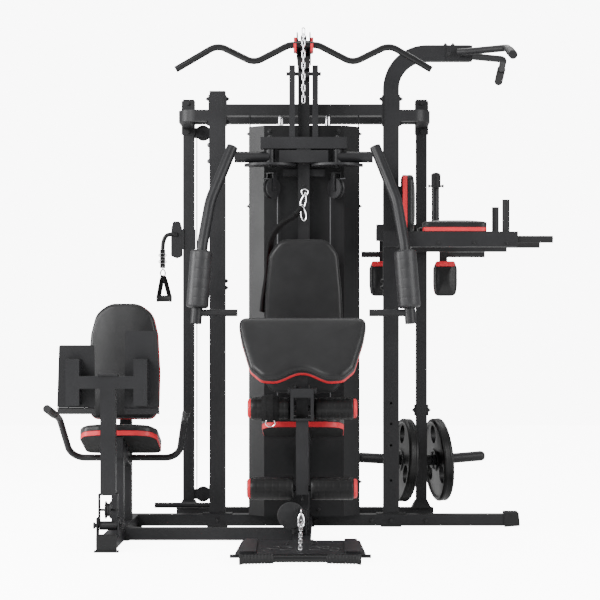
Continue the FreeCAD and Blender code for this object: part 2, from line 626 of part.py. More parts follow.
def low_row():
    y = -g.row_y
    slope, tilt = Rotation(X, 8), math.tan(math.radians(8))
    tread = extruded([(-246, -105), (246, -105), (226, 105), (-226, 105)], 4, Placement(
        Vector(0, -1245, 44.5), slope), 8)
    side_pads = [extruded([(s * 166, -96), (s * 232, -96), (s * 214, 98), (s * 166, 98)], 9, Placement(
        Vector(0, -1245, 44.5) + slope.multVec(Z) * 4, slope), 8) for s in (-1, 1)]
    pin = rod(7, 530, -265, -1330, 24, ALONG_X)
    low, high = 44.3 - 100 * tilt, 44.3 + 100 * tilt
    outline = [(-1345, 6), (-1145, 6), (-1145, high), (-1345, low), (-1345, 6)]
    ribs = [cut(shape_node(Part.Face(Part.makePolygon([Vector(s * 150, a, b) for a, b in outline])).extrude(
        Vector(s * 4, 0, 0))), rod(7, 530, -265, -1330, 24, ALONG_X)) for s in (-1, 1)]
    ribs.append(centred(300, 5, 36, 0, -1167.5, 30))
    ribs += side_pads
    node("foot_plate", tread, pin, *ribs)
    bar = bent([(-226, y - 30, 20), (-90, y - 22, 22), (90, y - 22, 22), (226, y - 30, 20)], 200, 13)
    node("row_bar", bar)
    grips = []
    for s in (-1, 1):
        along = Vector(-s * 136, 8, 2).normalize()
        tip = Vector(s * 227, y - 30.1, 20)
        core = Part.makeCylinder(13.2, 150, tip - along * 5, along)
        grips.append(shape_node(Part.makeCylinder(18, 128, tip, along).cut(core)))
    node("row_bar", *grips)
    node("row_bar", *chain((0, -1178, 135), (0, -200, -85), 9))
    node("low_pulley", pulley(0, -870, 110, ALONG_X))
    forks = [cut(centred(4, 70, 100, s * 17, -870, 105), rod("axle_radius", 20, s * 17 - 10, -870, 110,
                                                             ALONG_X))
             for s in (-1, 1)]
    node("frame_brackets", *forks, axle(0, -870, 110, ALONG_X, 50))


# ---- leg press ----

def leg_press():
    x, y, z = -g.leg_press_x, -g.press_pivot_y, g.press_pivot_z
    ears = [cut(centred(5, 70, 70, x + s * 42.5, y, 95), rod(8, 20, x + s * 42.5 - 10, y, z, ALONG_X))
            for s in (-1, 1)]
    seat_plate = centred(90, 70, 5, x, y, 57.5)
    node("frame_brackets", *ears, seat_plate)
    node("bolts_and_axles", rod(8, 104, x - 52, y, z, ALONG_X), rod(13, 8, x + 52, y, z, ALONG_X),
         rod(13, 8, x - 60, y, z, ALONG_X))
    barrel = sleeve(18, 8.05, 68, x - 34, y, z, ALONG_X)
    cheeks = [cut(centred(4, 50, 118, x + s * 36.3, y, z + 62), rod(18.0, 20, x + s * 36.3 - 10, y, z,
                                                                    ALONG_X),
                  rod("axle_radius", 20, x + s * 36.3 - 10, y, 160, ALONG_X)) for s in (-1, 1)]
    lid = centred(76.6, 50, 5, x, y, z + 123.5)
    mast = tube(60, "tube_deep", 466, x, y, z + 126)
    mast_cap = centred(78, 60, 8, x, y, z + 126 + 466 + 4)
    bar_z, bar_left, bar_right, bar_half = z + 126 + 441, 140, 128, 27
    cross_left = tube("tube_deep", "tube_deep", bar_left - bar_half - 30,
                      x - bar_left + bar_half, y, bar_z, ALONG_X)
    cross_right = tube("tube_deep", "tube_deep", bar_right - bar_half - 30, x + 30, y, bar_z, ALONG_X)
    bars = [centred(2 * bar_half, 70, 184, x + dx, y + 10, bar_z) for dx in (-bar_left, bar_right)]
    node("leg_press_arm", barrel, *cheeks, lid, mast, mast_cap, cross_left, cross_right, *bars)
    treads = []
    for s, outer, tread_top in ((-1, 210, 812), (1, 197, 868)):
        outline = [(s * 58, 562.6), (s * outer, 562.6), (s * (outer - 8), tread_top), (s * 62, tread_top)]
        face = extruded(outline, 5, Placement(Vector(x, y + 50, 0), Rotation(X, 90)), 8)
        lip = centred(outer - 58, 4, 34, x + s * (outer + 58) / 2, y + 58, 549, Rotation(X, 45))
        treads += [face, lip]
    node("leg_press_arm", *treads)
    node("leg_press_pulley", pulley(x, y, 160, ALONG_X, "small_pulley"))
    node("leg_press_arm", axle(x, y, 160, ALONG_X, 80))


def leg_press_seat():
    x = -g.leg_press_x
    foot = g.foot_pad + g.tube_deep
    front = tube("tube_deep", "tube_deep", 290, x, -g.press_post_y, foot)
    rear = tube("tube_deep", "tube_deep", 640, x, -g.press_rear_y, foot)
    node("leg_press_posts", front, rear)
    rail = shape_node(Part.Face(Part.makePolygon([Vector(x - 25, a, b) for a, b in (
        (-625, 345), (-625, 432), (-285.5, 330), (-285.5, 290), (-554.5, 345), (-625, 345))])).extrude(
        Vector(50, 0, 0)))
    brace = centred(40, 26, 120, x, -298, 600)
    node("leg_press_posts", rail, brace)
    seat = [(-162, 0), (-162, 270), (-110, 330), (110, 330), (162, 270), (162, 0)]
    rounded_pad("leg_press_seat_pad", seat, 60, Placement(Vector(x, -322, 344), Rotation(X, -16.7)),
                mirror_y=True)
    back = [(-152, 0), (-152, 200), (-138, 380), (-100, 460), (-50, 492), (50, 492), (100, 460), (138, 380),
            (152, 200), (152, 0)]
    rounded_pad("leg_press_back_pad", back, 62, Placement(Vector(x, -340, 492), Rotation(X, 83)), corner=20)
    half = [(290, -600, 545), (264, -420, 498), (231, -300, 325)]
    points = [(x - dx, a, b) for dx, a, b in half] + [(x + dx, a, b) for dx, a, b in reversed(half)]
    rail_low = bent(points, 70, 14, 12)
    rail_low.Shape = rail_low.Shape.cut(rail.Shape)
    node("leg_press_posts", rail_low)
    grips = []
    for s in (-1, 1):
        tip, bend = Vector(x + s * 290.9, -606, 546.6), Vector(x + s * 264, -420, 498)
        along = (bend - tip).normalize()
        grips.append(shape_node(Part.makeCylinder(17, 110, tip, along).cut(
            Part.makeCylinder(14.1, 110, tip + along * 6, along))))
    node("hand_grips", *grips)


# ---- dip stand and pull-up arm ----

def dip_stand():
    mid = g.dip_low + g.dip_high / 2
    arms = [tube("dip_high", "tube_deep", "dip_tip - dip_start", g.dip_start, s * g.dip_y, mid, ALONG_X)
            for s in (-1, 1)]
    yoke = tube("tube_deep", "dip_high", "2 * dip_y - tube_deep", g.upright_x + 60, -g.dip_y + 25, mid, ALONG_Y)
    clamp = centred(30, 50, 72, g.upright_x - 50, 0, g.dip_low + 74)
    node("dip_frame", *arms, yoke, clamp)
    posts = [rod(16, 138, 872, s * g.dip_y, g.dip_low + g.dip_high) for s in (-1, 1)]
    node("hand_grips", *posts)
    bars = [rod(15.5, 152, g.dip_tip + 5, s * g.dip_y, mid, ALONG_X) for s in (-1, 1)]
    node("hand_grips", *bars)
    pads = [extruded([(0, -46), (277, -46), (277, 46), (0, 46)], 50, Placement(
        Vector(513, s * (g.dip_y - 15), g.dip_low + g.dip_high), UP), 30) for s in (-1, 1)]
    node("dip_pads", *pads)
    back = [(-122, 1300), (122, 1300), (110, 1557), (-110, 1557)]
    node("dip_pads", extruded(back, 60, Placement(Vector(432, 0, 0), Rotation(Vector(1, 1, 1), 120)), 40))
    stays = [centred(12, 40, 60, 426, 0, z) for z in (1330, 1480)]
    node("dip_frame", *stays)


def pull_up():
    z = g.pullup_z
    cheeks = [centred(110, 4, 66, g.pullup_tip - 50, s * 27, z) for s in (-1, 1)]
    node("pull_up_bars", *cheeks, centred(5, 58, 66, g.pullup_tip + 7.5, 0, z))
    bars, grips = [], []
    for s, reach in ((-1, 885), (1, 903)):
        bend, end = Vector(reach, s * 180, z), Vector(reach, s * 435, z - 66)
        points = [(g.pullup_tip - 55, s * 44.5, z), (g.pullup_tip - 20, s * 60, z), bend, end]
        bars.append(bent(points, 40, 15.5, 13))
        along = (bend - end).normalize()
        grips.append(shape_node(Part.makeCylinder(19, 150, end - along * 5, along).cut(
            Part.makeCylinder(15.6, 150, end, along))))
    node("pull_up_bars", *bars)
    node("hand_grips", *grips)


# ---- squat lever and weight plates ----

def squat_lever():
    x, y, z = g.column_x, g.column_y, g.squat_z
    ears = [cut(centred(5, 90, 60, x + s * 30, y + 60, z), rod(8, 20, x + s * 30 - 10, y + 80, z, ALONG_X))
            for s in (-1, 1)]
    back = centred(55, 5, 60, x, y + 27.5, z)
    node("frame_brackets", *ears, back)
    node("bolts_and_axles", rod(8, 84, x - 42, y + 80, z, ALONG_X))
    barrel = sleeve(18, 8.05, 54, x - 27, y + 80, z, ALONG_X)
    arm = tube("tube_deep", "tube_deep", 200, x, y + 98, z, ALONG_Y)
    back_y, middle = y + 98 + 225, x - 25
    pad_at, post_x, handle_z = 152, x + 84, z - 97
    cross = tube("tube_deep", "tube_deep", 350, middle - 175, back_y, z, ALONG_X)
    drops = [tube(36, 40, 150, middle + dx, back_y, z - 25 - 150) for dx in (11 - pad_at, pad_at - 6)]
    post = rod(18.5, 200, post_x, back_y, z + 25)
    grip = rod(21, 62, post_x, back_y, z + 225)
    handles = [rod(14, 86, middle - 245, back_y, handle_z, ALONG_X),
               rod(14, 180, middle + 164, back_y, handle_z, ALONG_X)]
    node("squat_yoke", barrel, arm, cross, post, grip, *drops, *handles)
    outline = [(-57, -82), (57, -82), (57, 82), (-57, 82)]
    node("squat_pads", *[extruded(outline, 60, Placement(Vector(middle + s * pad_at, back_y - 21, z - 215),
                                                         Rotation(X, 90)), 22) for s in (-1, 1)])


def peg_axis(side):
    """The direction of a plate peg: out from the column, a little back on the right, and 4 degrees up."""
    sweep, rise = math.radians(12), math.radians(4)
    return Vector(side * math.cos(sweep) * math.cos(rise), side * math.sin(sweep) * math.cos(rise),
                  math.sin(rise))


def plate_pegs():
    pegs, discs = [], []
    column = Part.makeBox(50, 50, 300, Vector(g.column_x - 25, g.column_y - 25, g.peg_z - 150))
    for side in (-1, 1):
        out = peg_axis(side)
        middle = Vector(g.column_x, g.column_y, g.peg_z)
        seat = Part.makeCylinder(g.peg_radius, g.peg_seat, middle, out).cut(column)
        nose = Part.makeCylinder(g.peg_nose, g.peg_length - g.peg_seat, middle + out * g.peg_seat, out)
        solid = seat.fuse(nose)
        flange = Part.makeCylinder(38, 6, middle + out * 46, out).cut(Part.makeCylinder(g.peg_radius, 8,
                                                                                      middle + out * 45, out))
        pegs += [shape_node(solid), shape_node(flange)]
        start = middle + out * (82 - g.disc_thick / 2)
        disc = Part.makeCylinder(g.disc_radius, g.disc_thick, start, out)
        for k in range(3):
            turn = Rotation(out, 120 * k + 30)
            offset = turn.multVec(out.cross(Z).normalize()) * 118
            disc = disc.cut(Part.makeCylinder(42, 50, start - out * 8 + offset, out))
        discs.append(shape_node(disc.cut(Part.makeCylinder(g.peg_radius + 1.2, 60, start - out * 10, out))))
    node("plate_pegs", *pegs)
    node("weight_disc_left", discs[0])
    node("weight_disc_right", discs[1])


# ---- cable column ----

def cable_column():
    x, y = -g.column_x, g.column_y
    z = 1290
    carriage = cut(centred(60, 60, 90, x, y, z), centred(51, 51, 92, x, y, z), centred(40, 30, 92, x, y - 30, z))
    hub = centred(12, 30, 40, x - 36, y, z)
    oval = [(-25, -78), (0, -88), (25, -78), (25, 30), (16, 82), (-16, 82), (-25, 30)]
    middle = x - 55.5
    cheeks = [extruded(oval, 4, Placement(Vector(middle, y + d, z), Rotation(X, 90)), 10) for d in (-19, 19)]
    node("column_carriage", carriage, hub, *cheeks)
    turn = ALONG_Y
    node("column_carriage", pulley(middle, y - 2, z + 50, turn, "tiny_pulley"),
         pulley(middle, y - 2, z - 52, turn, "tiny_pulley"))
    node("column_pulley_top", pulley(x + 66, y, g.column_pulley_z, turn, "small_pulley"))
    node("column_pulley_low", pulley(x + 66, y, g.low_pulley_z, turn, "small_pulley"))
    forks = []
    for height in (g.column_pulley_z, g.low_pulley_z):
        forks += [cut(centred(100, 4, 44, x + 75, y + d, height), axle(x + 66, y, height, turn, 60))
                  for d in (-19, 19)]
        forks.append(axle(x + 66, y, height, turn, 46))
    node("frame_brackets", *forks)


# ---- cables ----

def cable(*steps):
    """Steel cable along straight runs and arcs; each arc is given by its middle and its end."""
    edges, at = [], Vector(*steps[0])
    for step in steps[1:]:
        if len(step) == 2:
            middle, end = Vector(*step[0]), Vector(*step[1])
            edges.append(Part.Arc(at, middle, end).toShape())
        else:
            end = Vector(*step)
            edges.append(Part.LineSegment(at, end).toShape())
        at = end
    first = Vector(*steps[0])
    along = edges[0].tangentAt(edges[0].FirstParameter)
    face = Part.Face(Part.Wire(Part.makeCircle(g.cable_radius, first, along)))
    return shape_node(Part.Wire(edges).makePipe(face))


def cables():
    wrap = g.pulley_radius - g.groove_depth + g.cable_radius
    top, front, rear = g.lat_axle_z, -247, -38.5
    diagonal = wrap * math.sqrt(0.5)
    node("lat_cable", cable(
        (0, rear + wrap, 640), (0, rear + wrap, top),
        ((0, rear + diagonal, top + diagonal), (0, rear, top + wrap)), (0, front, top + wrap),
        ((0, front - diagonal, top + diagonal), (0, front - wrap, top)), (0, front - wrap, 2052)))
    small = g.small_pulley - g.groove_depth + g.cable_radius
    x, y, high, low = -g.column_x + 66, g.column_y, g.column_pulley_z, g.low_pulley_z
    node("station_cables", cable(
        (x + small, y, high - 140), (x + small, y, high), ((x, y, high + small), (x - small, y, high)),
        (x - small, y, low), ((x, y, low - small), (x + small, y, low)), (x + small, y, low + 40)))
    for height in (high - 55, high - 130):
        ball = Part.makeSphere(g.stopper_radius, Vector(x + small, y, height))
        core = Part.makeCylinder(g.cable_radius + 0.05, 4 * g.stopper_radius, Vector(x + small, y, height - 20))
        node("station_cables", shape_node(ball.cut(core)))
    node("station_cables", cable((0, -870, 110 + wrap), (0, -1155, 141)))
    fly_diagonal = wrap * math.sqrt(0.5)
    for side in (-1, 1):
        hub = Vector(side * 140, -170, g.fly_pulley_z)
        over = hub + Vector(-side * fly_diagonal * 0.6428, fly_diagonal * 0.766, fly_diagonal)
        inner = hub + Vector(-side * wrap * 0.6428, wrap * 0.766, 0)
        top = hub + Z * wrap
        node("station_cables", cable(top + Vector(side * 0.6428, -0.766, 0) * 60, top, (over, inner),
                                     inner - Z * 930))


# ---- build ----

def main():
    base_frame()
    foot_pads_and_caps()
    uprights()
    frame_bolts()
    shroud()
    weight_stack()
    lat_tower()
    lat_bar()
    press_arm()
    pivots = []
    for side, name in ((-1, "fly_arm_left"), (1, "fly_arm_right")):
        pivots += fly_arm(side, name)
    node("press_frame", *pivots)
    arm_roller(-1, "arm_roller_left")
    arm_roller(1, "arm_roller_right")
    fly_pulleys()
    seat_station()
    cushions()
    preacher()
    leg_lever()
    foam_rollers("upper_foam_rollers", -g.leg_y, g.upper_axle_z, "foam_upper")
    foam_rollers("lower_foam_rollers", -g.lever_y, g.lever_axle_z, "foam_lower")
    low_row()
    leg_press()
    leg_press_seat()
    dip_stand()
    pull_up()
    squat_lever()
    plate_pegs()
    cable_column()
    cables()
    doc.recompute()
    write()


def write():
    nodes = []
    for label, things in PIECES.items():
        part = things[0]
        if len(things) > 1:
            part = doc.addObject("Part::Compound", "Group_" + label)
            part.Links = things
        part.Label = label
        nodes.append(part)
    doc.recompute()
    bad = [o.Name for o in doc.Objects if "Invalid" in o.State or "Error" in o.State]
    if bad:
        raise SystemExit(f"objects failed: {bad}")
    for part in nodes:
        shape = part.Shape
        if shape.isNull() or not shape.isValid() or not shape.Solids:
            raise SystemExit(f"{part.Label} has no valid solid")
    os.makedirs("parts", exist_ok=True)
    for part in nodes:
        part.Shape.exportStep(os.path.join("parts", part.Label + ".step"))
    print(len(nodes), "sub-parts written")


main()
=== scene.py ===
"""Looks of a multi station home gym: upholstery, foam, straps, trim and finishes over the fixed CAD frame."""
import json
import math

import bmesh
import bpy
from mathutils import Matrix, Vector


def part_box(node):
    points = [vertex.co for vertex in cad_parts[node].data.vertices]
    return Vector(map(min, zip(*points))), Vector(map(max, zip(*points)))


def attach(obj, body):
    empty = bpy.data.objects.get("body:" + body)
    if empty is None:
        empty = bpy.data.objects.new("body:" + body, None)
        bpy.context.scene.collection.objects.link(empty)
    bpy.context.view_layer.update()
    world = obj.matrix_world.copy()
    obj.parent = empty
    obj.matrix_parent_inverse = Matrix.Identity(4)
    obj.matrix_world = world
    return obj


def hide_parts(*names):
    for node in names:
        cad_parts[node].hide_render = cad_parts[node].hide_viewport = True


X, Y, Z = Vector((1, 0, 0)), Vector((0, 1, 0)), Vector((0, 0, 1))

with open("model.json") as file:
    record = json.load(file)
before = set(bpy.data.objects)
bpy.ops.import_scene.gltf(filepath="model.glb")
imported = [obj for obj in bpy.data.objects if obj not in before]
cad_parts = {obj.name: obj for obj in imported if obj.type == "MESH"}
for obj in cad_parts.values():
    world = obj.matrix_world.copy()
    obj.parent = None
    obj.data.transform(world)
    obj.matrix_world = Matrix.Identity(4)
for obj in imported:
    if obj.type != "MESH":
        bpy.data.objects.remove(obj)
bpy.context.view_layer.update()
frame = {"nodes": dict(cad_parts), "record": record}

# places in the CAD frame, in metres
COLUMN_X, COLUMN_Y = 0.536, 0.32
TOWER_FRONT = -0.19
SHROUD_SIDE = 0.245
DIP_ARM_SIDE = 0.28
PEG_CENTRE = Vector((COLUMN_X, COLUMN_Y, 0.268))


# ---- materials ----

DULL_SPECULAR = 0.26


def new_material(name, color, rough, metal=0.0):
    material = bpy.data.materials.new(name)
    material.use_nodes = True
    shader = material.node_tree.nodes["Principled BSDF"]
    shader.inputs["Base Color"].default_value = (*color, 1)
    shader.inputs["Roughness"].default_value = rough
    shader.inputs["Metallic"].default_value = metal
    if not metal:
        shader.inputs["Specular IOR Level"].default_value = DULL_SPECULAR
    return material, shader


def grain(material, shader, scale, depth, distance, kind="noise"):
    """A fine relief in the surface, of noise or of cells."""
    tree = material.node_tree
    place = tree.nodes.new("ShaderNodeTexCoord")
    relief = tree.nodes.new("ShaderNodeTexNoise" if kind == "noise" else "ShaderNodeTexVoronoi")
    relief.inputs["Scale"].default_value = scale
    bump = tree.nodes.new("ShaderNodeBump")
    bump.inputs["Strength"].default_value = depth
    bump.inputs["Distance"].default_value = distance
    tree.links.new(place.outputs["Object"], relief.inputs["Vector"])
    source = relief.outputs["Fac" if kind == "noise" else "Distance"]
    tree.links.new(source, bump.inputs["Height"])
    tree.links.new(bump.outputs["Normal"], shader.inputs["Normal"])


def mottle(material, shader, color, spread, scale, rough):
    """Colour and roughness that drift a little across the surface: rough is a range."""
    tree = material.node_tree
    place = tree.nodes.new("ShaderNodeTexCoord")
    noise = tree.nodes.new("ShaderNodeTexNoise")
    noise.inputs["Scale"].default_value = scale
    noise.inputs["Detail"].default_value = 6
    ramp = tree.nodes.new("ShaderNodeValToRGB")
    ramp.color_ramp.elements[0].position = 0.3
    ramp.color_ramp.elements[1].position = 0.7
    ramp.color_ramp.elements[0].color = (*[c * (1 - spread) for c in color], 1)
    ramp.color_ramp.elements[1].color = (*[min(1, c * (1 + spread)) for c in color], 1)
    tree.links.new(place.outputs["Object"], noise.inputs["Vector"])
    tree.links.new(noise.outputs["Fac"], ramp.inputs["Fac"])
    tree.links.new(ramp.outputs["Color"], shader.inputs["Base Color"])
    span = tree.nodes.new("ShaderNodeMapRange")
    span.inputs["To Min"].default_value = rough[0]
    span.inputs["To Max"].default_value = rough[1]
    tree.links.new(noise.outputs["Fac"], span.inputs["Value"])
    tree.links.new(span.outputs["Result"], shader.inputs["Roughness"])


def speckled(name, color, rough, spread, spots, metal=0.0):
    """A material whose colour and roughness drift: rough is a range and spots the count in a metre."""
    material, shader = new_material(name, color, rough[0], metal)
    mottle(material, shader, color, spread, spots, rough)
    return material, shader


def powder_coat(name, color, rough=(0.36, 0.5)):
    material, shader = speckled(name, color, rough, spread=0.12, spots=9)
    grain(material, shader, scale=900, depth=0.25, distance=0.0004)
    return material


def upholstery():
    color = (0.0075, 0.0075, 0.008)
    material, shader = speckled("upholstery_leather", color, (0.3, 0.42), spread=0.18, spots=14)
    grain(material, shader, scale=420, depth=0.35, distance=0.0006, kind="cells")
    shader.inputs["Sheen Weight"].default_value = 0.15
    return material


def foam(name, shade):
    color = (shade, shade, shade * 1.06)
    material, shader = speckled(name, color, (0.36, 0.48), spread=0.2, spots=30)
    grain(material, shader, scale=1300, depth=0.25, distance=0.0004)
    return material


def rubber():
    color = (0.009, 0.009, 0.0095)
    material, shader = speckled("grip_rubber", color, (0.52, 0.68), spread=0.2, spots=25)
    grain(material, shader, scale=700, depth=0.3, distance=0.0005)
    return material


def red_trim():
    color = (0.55, 0.022, 0.032)
    material, shader = speckled("red_trim", color, (0.34, 0.46), spread=0.1, spots=12)
    grain(material, shader, scale=500, depth=0.2, distance=0.0004)
    return material


def chrome():
    color = (0.72, 0.72, 0.74)
    return speckled("chrome", color, (0.08, 0.2), spread=0.06, spots=40, metal=1.0)[0]


def plastic():
    color = (0.018, 0.018, 0.019)
    material, shader = speckled("black_plastic", color, (0.36, 0.5), spread=0.15, spots=30)
    grain(material, shader, scale=1100, depth=0.2, distance=0.0003)
    return material


def iron(name, color, rough):
    material, shader = speckled(name, color, rough, spread=0.2, spots=20)
    grain(material, shader, scale=260, depth=0.3, distance=0.0008)
    return material


def webbing():
    color = (0.0045, 0.0045, 0.0048)
    material, shader = speckled("webbing", color, (0.78, 0.9), spread=0.3, spots=60)
    tree = material.node_tree
    place = tree.nodes.new("ShaderNodeTexCoord")
    weave = tree.nodes.new("ShaderNodeTexWave")
    weave.inputs["Scale"].default_value = 180
    bump = tree.nodes.new("ShaderNodeBump")
    bump.inputs["Strength"].default_value = 0.5
    bump.inputs["Distance"].default_value = 0.0008
    tree.links.new(place.outputs["Object"], weave.inputs["Vector"])
    tree.links.new(weave.outputs["Fac"], bump.inputs["Height"])
    tree.links.new(bump.outputs["Normal"], shader.inputs["Normal"])
    return material


MATERIALS = {
    "frame_paint": powder_coat("frame_powder_coat", (0.0125, 0.0125, 0.0137)),
    "shroud_paint": powder_coat("shroud_powder_coat", (0.0065, 0.0065, 0.0072), (0.36, 0.48)),
    "bar_paint": powder_coat("bar_coat", (0.009, 0.009, 0.0095), (0.26, 0.36)),
    "upholstery": upholstery(),
    "foam": foam("foam_rubber", 0.004),
    "black_rubber": rubber(),
    "chrome_steel": chrome(),
    "black_plastic": plastic(),
    "red_coating": red_trim(),
    "stack_iron": iron("stack_iron", (0.03, 0.03, 0.032), (0.45, 0.6)),
    "disc_iron": iron("disc_iron", (0.0028, 0.0028, 0.003), (0.32, 0.45)),
    "coated_cable": powder_coat("cable_cover", (0.09, 0.09, 0.095), (0.3, 0.4)),
    "black_bolts": powder_coat("black_oxide", (0.02, 0.02, 0.021), (0.28, 0.4)),
}
WEBBING = webbing()
# The same foam as the leg rollers with a lighter colour: painted light, for the brighter light that falls on
# the fly rollers
FOAM_PAINTED_LIT = foam("foam_rubber_painted_lit", 0.025)
BACKING = powder_coat("backing_cloth", (0.0025, 0.0025, 0.0027), (0.75, 0.9))

for entry in frame["record"]["subparts"]:
    cad = frame["nodes"][entry["node"]]
    cad.data.materials.clear()
    cad.data.materials.append(MATERIALS[entry["material_slot"]])


# ---- building blocks ----

def turns(count):
    """Even steps round a full turn, in radians."""
    return [2 * math.pi * k / count for k in range(count)]


def quarter(count):
    """Even steps over a quarter turn without its start, in radians."""
    return [math.pi / 2 * k / count for k in range(1, count + 1)]


def box_of(node_name):
    """The low and high corner of a CAD node."""
    low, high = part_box(node_name)
    return Vector(low), Vector(high)


def add(name, bm, material, body, crease=35):
    """A smooth piece made from a bmesh, riding on a CAD body. Edges over crease degrees stay sharp."""
    bmesh.ops.recalc_face_normals(bm, faces=bm.faces)
    mesh = bpy.data.meshes.new(name)
    bm.to_mesh(mesh)
    bm.free()
    piece = bpy.data.objects.new(name, mesh)
    bpy.context.scene.collection.objects.link(piece)
    mesh.materials.append(material)
    for face in mesh.polygons:
        face.use_smooth = True
    mesh.set_sharp_from_angle(angle=math.radians(crease))
    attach(piece, body)
    return piece


def rounded(points, radius, steps=6):
    """The outline through points, with each corner rounded by an arc of one radius."""
    made = []
    count = len(points)
    for i in range(count):
        corner = Vector(points[i])
        before, after = Vector(points[i - 1]), Vector(points[(i + 1) % count])
        into, out = (before - corner).normalized(), (after - corner).normalized()
        half = into.angle(out) / 2
        longest = 0.45 * min((before - corner).length, (after - corner).length)
        reach = min(radius / math.tan(half), longest)
        start, end = corner + into * reach, corner + out * reach
        for k in range(steps + 1):
            t = k / steps
            made.append(start * (1 - t) ** 2 + corner * 2 * t * (1 - t) + end * t ** 2)
    return made


def resample(points, spacing):
    """The closed outline with points an even distance apart."""
    closed = points + points[:1]
    lengths = [(b - a).length for a, b in zip(closed, closed[1:])]
    total = sum(lengths)
    count = max(24, round(total / spacing))
    made, index, walked = [], 0, 0.0
    for k in range(count):
        target = total * k / count
        while walked + lengths[index] < target and index < len(lengths) - 1:
            walked += lengths[index]
            index += 1
        part = (target - walked) / max(lengths[index], 1e-9)
        made.append(closed[index].lerp(closed[index + 1], min(1, part)))
    return made


def loft(bm, rings):
    """Closed rings of the same length, joined side by side, with both ends filled."""
    made = [[bm.verts.new(p) for p in ring] for ring in rings]
    for a, b in zip(made, made[1:]):
        for i in range(len(a)):
            j = (i + 1) % len(a)
            bm.faces.new((a[i], a[j], b[j], b[i]))
    for ring in (made[0], made[-1]):
        centre = bm.verts.new(sum((v.co for v in ring), Vector()) / len(ring))
        for i in range(len(ring)):
            bm.faces.new((ring[i], ring[(i + 1) % len(ring)], centre))


def lathe(bm, profile, start, axis, sides=40):
    """A solid of revolution: profile holds (distance along the axis, radius) pairs."""
    axis = axis.normalized()
    side = axis.orthogonal().normalized()
    other = axis.cross(side)
    loft(bm, [[start + axis * far + (side * math.cos(t) + other * math.sin(t)) * radius for t in turns(sides)]
              for far, radius in profile])


def block(bm, low, high, bevel=0.0015):
    """A box between two corners, with softened edges."""
    low, high = Vector(low), Vector(high)
    made = bmesh.ops.create_cube(bm, size=1)["verts"]
    for vert in made:
        vert.co = Vector([(low[i] + high[i]) / 2 + vert.co[i] * (high[i] - low[i]) for i in range(3)])
    edges = list({e for v in made for e in v.link_edges})
    bmesh.ops.bevel(bm, geom=edges, offset=bevel, segments=2, affect="EDGES", profile=0.5)


def band(bm, path, across, wide, thick):
    """A flat strap along a path: across holds the direction of its width."""
    lower = [(-1, -0.6), (-0.92, -1), (0.92, -1), (1, -0.6)]
    section = lower + [(-a, -b) for a, b in lower]
    rings = []
    for i, point in enumerate(path):
        along = (path[min(i + 1, len(path) - 1)] - path[max(i - 1, 0)]).normalized()
        side = (across - along * across.dot(along)).normalized()
        up = along.cross(side)
        rings.append([point + side * (a * wide / 2) + up * (b * thick / 2) for a, b in section])
    loft(bm, rings)


def smooth_path(points, steps=10):
    """A Catmull-Rom curve through points."""
    points = [Vector(p) for p in points]
    points = [points[0] * 2 - points[1]] + points + [points[-1] * 2 - points[-2]]
    made = []
    for i in range(1, len(points) - 2):
        a, b, c, d = points[i - 1:i + 3]
        for k in range(steps):
            t = k / steps
            made.append(0.5 * ((2 * b) + (c - a) * t + (2 * a - 5 * b + 4 * c - d) * t ** 2
                               + (3 * b - a - 3 * c + d) * t ** 3))
    made.append(points[-2])
    return made


def middle(points):
    """The centre of the box round an outline."""
    low = Vector((min(p.x for p in points), min(p.y for p in points)))
    high = Vector((max(p.x for p in points), max(p.y for p in points)))
    return (low + high) / 2


def tube(bm, path, radius, sides=16):
    """A round bar along a path of points."""
    rings = []
    normal = None
    for i, point in enumerate(path):
        along = (path[min(i + 1, len(path) - 1)] - path[max(i - 1, 0)]).normalized()
        if normal is None:
            normal = along.orthogonal().normalized()
        normal = (normal - along * normal.dot(along)).normalized()
        across = along.cross(normal)
        rings.append([point + (normal * math.cos(t) + across * math.sin(t)) * radius for t in turns(sides)])
    loft(bm, rings)


def circle(centre, across, along, radius, count):
    """Points on a circle in the plane of two directions."""
    return [centre + across * (radius * math.cos(t)) + along * (radius * math.sin(t)) for t in turns(count)]


def ring_tube(bm, path, radius, normal, sides=10):
    """A round cord along a closed path."""
    count = len(path)
    rings = []
    for i, point in enumerate(path):
        along = (path[(i + 1) % count] - path[i - 1]).normalized()
        out = along.cross(normal).normalized()
        up = out.cross(along)
        rings.append([bm.verts.new(point + (out * math.cos(t) + up * math.sin(t)) * radius)
                      for t in turns(sides)])
    for i in range(count):
        a, b = rings[i], rings[(i + 1) % count]
        for k in range(sides):
            m = (k + 1) % sides
            bm.faces.new((a[k], a[m], b[m], b[k]))


def mirrored(points):
    """The outline's right half, from bottom to top, with its mirror image."""
    return [(x, y) for x, y in points] + [(-x, y) for x, y in reversed(points)]


# ---- upholstery ----

